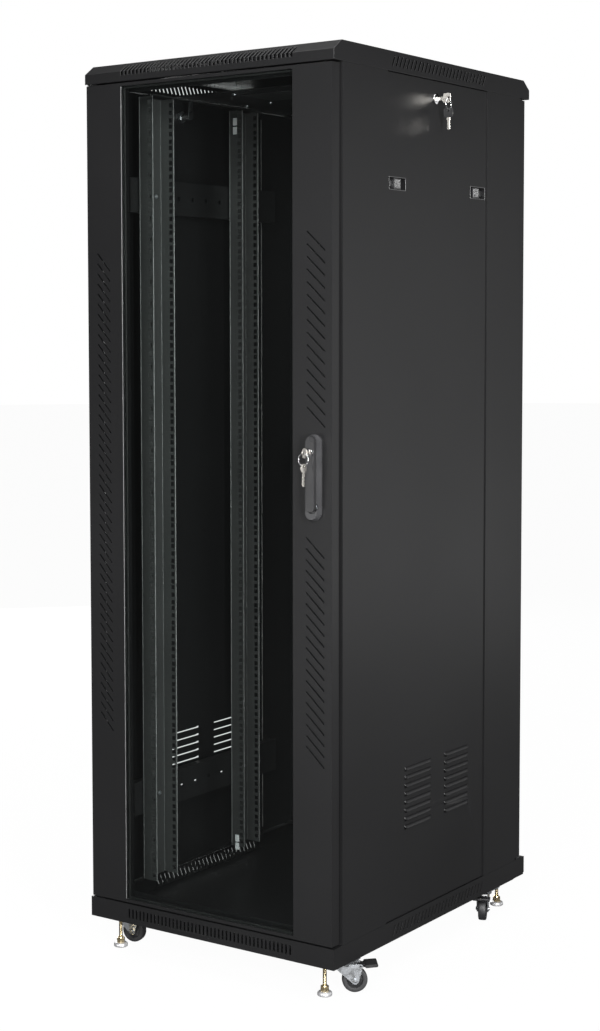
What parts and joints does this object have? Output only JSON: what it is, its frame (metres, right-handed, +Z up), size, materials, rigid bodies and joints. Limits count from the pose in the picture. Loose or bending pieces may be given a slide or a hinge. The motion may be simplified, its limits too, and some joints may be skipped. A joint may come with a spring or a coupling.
{
  "type": "network server rack cabinet",
  "caption": "Tall floor-standing steel network cabinet with glazed front door, swing handle, louvred lift-off side panels, vented cover and base, 19-inch rails, castors and feet",
  "frame": {"origin": "middle of the whole object's footprint, on the floor under the levelling feet", "axes": "+Z up, +X to the right seen from the front, -Y out of the front door"},
  "size_m": [0.6395, 0.8567, 1.833],
  "materials": {
    "panel_paint": "fine satin powder coat, black",
    "frame_paint": "satin powder coat, black",
    "tinted_glass": "clear tempered, slightly grey-green",
    "chrome": "polished",
    "zinc": "bright zinc plate",
    "brass": "yellow passivated",
    "tyre": "hard dark grey tread",
    "black_plastic": "moulded"
  },
  "bodies": {
    "cabinet": {"base_frame": "panel_paint", "top_cover": "panel_paint", "front_frame": "frame_paint", "rear_frame": "frame_paint", "left_upper_brace": "frame_paint", "left_lower_brace": "frame_paint", "right_upper_brace": "frame_paint", "right_lower_brace": "frame_paint", "front_left_rail": "frame_paint", "front_right_rail": "frame_paint", "rear_left_rail": "frame_paint", "rear_right_rail": "frame_paint", "front_left_castor_plate": "zinc", "front_right_castor_plate": "zinc", "rear_left_castor_plate": "zinc", "rear_right_castor_plate": "zinc", "front_door_upper_pin": "zinc", "front_door_lower_pin": "zinc", "rear_door_upper_pin": "zinc", "rear_door_lower_pin": "zinc"},
    "front_door": {"front_door_frame": "panel_paint", "front_door_glass": "tinted_glass", "front_handle_housing": "panel_paint"},
    "front_latch": {"front_latch_cam": "zinc"},
    "front_handle": {"front_handle_lever": "panel_paint", "front_lock_cylinder": "chrome"},
    "front_lock": {"front_lock_plug": "chrome", "front_key": "chrome"},
    "front_keys": {"front_key_ring": "chrome", "front_spare_key": "chrome"},
    "rear_door": {"rear_door_panel": "panel_paint", "rear_lock_barrel": "chrome"},
    "rear_lock": {"rear_lock_cam": "zinc"},
    "right_panel": {"right_side_panel": "panel_paint", "right_lock_barrel": "chrome"},
    "right_lock": {"right_lock_cam": "zinc", "right_key": "chrome"},
    "right_keys": {"right_key_ring": "chrome", "right_spare_key": "chrome"},
    "left_panel": {"left_side_panel": "panel_paint", "left_lock_barrel": "chrome"},
    "left_lock": {"left_lock_cam": "zinc"},
    "left_front_latch": {"left_front_latch": "black_plastic"},
    "left_rear_latch": {"left_rear_latch": "black_plastic"},
    "right_front_latch": {"right_front_latch": "black_plastic"},
    "right_rear_latch": {"right_rear_latch": "black_plastic"},
    "front_left_fork": {"front_left_castor_fork": "zinc"},
    "front_left_wheel": {"front_left_castor_wheel": "tyre"},
    "front_left_foot": {"front_left_levelling_foot": "brass"},
    "front_right_fork": {"front_right_castor_fork": "zinc"},
    "front_right_wheel": {"front_right_castor_wheel": "tyre"},
    "front_right_brake": {"front_right_brake_pedal": "black_plastic"},
    "front_right_foot": {"front_right_levelling_foot": "brass"},
    "rear_left_fork": {"rear_left_castor_fork": "zinc"},
    "rear_left_wheel": {"rear_left_castor_wheel": "tyre"},
    "rear_left_foot": {"rear_left_levelling_foot": "brass"},
    "rear_right_fork": {"rear_right_castor_fork": "zinc"},
    "rear_right_wheel": {"rear_right_castor_wheel": "tyre"},
    "rear_right_brake": {"rear_right_brake_pedal": "black_plastic"},
    "rear_right_foot": {"rear_right_levelling_foot": "brass"}
  },
  "joints": [
    {"name": "front_door_swing", "type": "hinge", "parent": "cabinet", "child": "front_door", "pos_m": [-0.303, -0.358, 0], "axis": [0, 0, -1], "range_deg": [0, 125]},
    {"name": "front_latch_turn", "type": "hinge", "parent": "front_door", "child": "front_latch", "pos_m": [0.244, -0.372, 0.9585], "axis": [0, -1, 0], "range_deg": [0, 90]},
    {"name": "front_handle_lift", "type": "hinge", "parent": "front_latch", "child": "front_handle", "pos_m": [0.244, -0.3918, 0.9585], "axis": [1, 0, 0], "range_deg": [0, 35]},
    {"name": "front_key_turn", "type": "hinge", "parent": "front_handle", "child": "front_lock", "pos_m": [0.244, -0.402, 1.063], "axis": [0, 1, 0], "range_deg": [0, 90]},
    {"name": "front_key_swing", "type": "hinge", "parent": "front_lock", "child": "front_keys", "pos_m": [0.244, -0.4188, 1.0615], "axis": [-1, 0, 0], "range_deg": [-4, 70]},
    {"name": "rear_door_swing", "type": "hinge", "parent": "cabinet", "child": "rear_door", "pos_m": [-0.303, 0.4, 0], "axis": [0, 0, 1], "range_deg": [0, 120]},
    {"name": "rear_lock_turn", "type": "hinge", "parent": "rear_door", "child": "rear_lock", "pos_m": [0.244, 0.418, 1], "axis": [0, 1, 0], "range_deg": [-90, 0]},
    {"name": "right_panel_pull", "type": "slide", "parent": "cabinet", "child": "right_panel", "axis": [1, 0, 0], "range_m": [0, 0.25]},
    {"name": "left_panel_pull", "type": "slide", "parent": "cabinet", "child": "left_panel", "axis": [-1, 0, 0], "range_m": [0, 0.25]},
    {"name": "right_lock_turn", "type": "hinge", "parent": "right_panel", "child": "right_lock", "pos_m": [0.2838, 0.014, 1.757], "axis": [1, 0, 0], "range_deg": [0, 90]},
    {"name": "left_lock_turn", "type": "hinge", "parent": "left_panel", "child": "left_lock", "pos_m": [-0.3198, -0.05, 1.757], "axis": [-1, 0, 0], "range_deg": [0, 90]},
    {"name": "right_key_swing", "type": "hinge", "parent": "right_lock", "child": "right_keys", "pos_m": [0.3098, 0.014, 1.7555], "axis": [0, -1, 0], "range_deg": [-8, 70]},
    {"name": "left_front_latch_slide", "type": "slide", "parent": "left_panel", "child": "left_front_latch", "axis": [0, 1, 0], "range_m": [0, 0.01], "stiffness_N_per_m": 200},
    {"name": "left_rear_latch_slide", "type": "slide", "parent": "left_panel", "child": "left_rear_latch", "axis": [0, -1, 0], "range_m": [0, 0.01], "stiffness_N_per_m": 200},
    {"name": "right_front_latch_slide", "type": "slide", "parent": "right_panel", "child": "right_front_latch", "axis": [0, 1, 0], "range_m": [0, 0.01], "stiffness_N_per_m": 200},
    {"name": "right_rear_latch_slide", "type": "slide", "parent": "right_panel", "child": "right_rear_latch", "axis": [0, -1, 0], "range_m": [0, 0.01], "stiffness_N_per_m": 200},
    {"name": "front_left_swivel", "type": "hinge", "parent": "cabinet", "child": "front_left_fork", "pos_m": [-0.29, -0.296, 0.0545], "axis": [0, 0, 1], "range_deg": [-21, 236]},
    {"name": "front_left_wheel_spin", "type": "hinge", "parent": "front_left_fork", "child": "front_left_wheel", "pos_m": [-0.2663, -0.29225, 0.026], "axis": [-0.1564, 0.9877, 0], "continuous": true},
    {"name": "front_left_foot_raise", "type": "slide", "parent": "cabinet", "child": "front_left_foot", "axis": [0, 0, 1], "range_m": [0, 0.02]},
    {"name": "front_right_swivel", "type": "hinge", "parent": "cabinet", "child": "front_right_fork", "pos_m": [0.254, -0.296, 0.0545], "axis": [0, 0, 1], "range_deg": [-102, 155]},
    {"name": "front_right_wheel_spin", "type": "hinge", "parent": "front_right_fork", "child": "front_right_wheel", "pos_m": [0.27317, -0.28156, 0.026], "axis": [-0.6018, 0.7986, 0], "continuous": true},
    {"name": "front_right_brake_press", "type": "hinge", "parent": "front_right_fork", "child": "front_right_brake", "pos_m": [0.28195, -0.27494, 0.0545], "axis": [-0.6018, 0.7986, 0], "range_deg": [0, 15]},
    {"name": "front_right_foot_raise", "type": "slide", "parent": "cabinet", "child": "front_right_foot", "axis": [0, 0, 1], "range_m": [0, 0.02]},
    {"name": "rear_left_swivel", "type": "hinge", "parent": "cabinet", "child": "rear_left_fork", "pos_m": [-0.29, 0.29, 0.0545], "axis": [0, 0, 1], "continuous": true},
    {"name": "rear_left_wheel_spin", "type": "hinge", "parent": "rear_left_fork", "child": "rear_left_wheel", "pos_m": [-0.26922, 0.302, 0.026], "axis": [-0.5, 0.866, 0], "continuous": true},
    {"name": "rear_left_foot_raise", "type": "slide", "parent": "cabinet", "child": "rear_left_foot", "axis": [0, 0, 1], "range_m": [0, 0.02]},
    {"name": "rear_right_swivel", "type": "hinge", "parent": "cabinet", "child": "rear_right_fork", "pos_m": [0.254, 0.29, 0.0545], "axis": [0, 0, 1], "continuous": true},
    {"name": "rear_right_wheel_spin", "type": "hinge", "parent": "rear_right_fork", "child": "rear_right_wheel", "pos_m": [0.26338, 0.26791, 0.026], "axis": [0.9205, 0.3907, 0], "continuous": true},
    {"name": "rear_right_brake_press", "type": "hinge", "parent": "rear_right_fork", "child": "rear_right_brake", "pos_m": [0.26768, 0.25778, 0.0545], "axis": [0.9205, 0.3907, 0], "range_deg": [0, 15]},
    {"name": "rear_right_foot_raise", "type": "slide", "parent": "cabinet", "child": "rear_right_foot", "axis": [0, 0, 1], "range_m": [0, 0.02]}
  ]
}
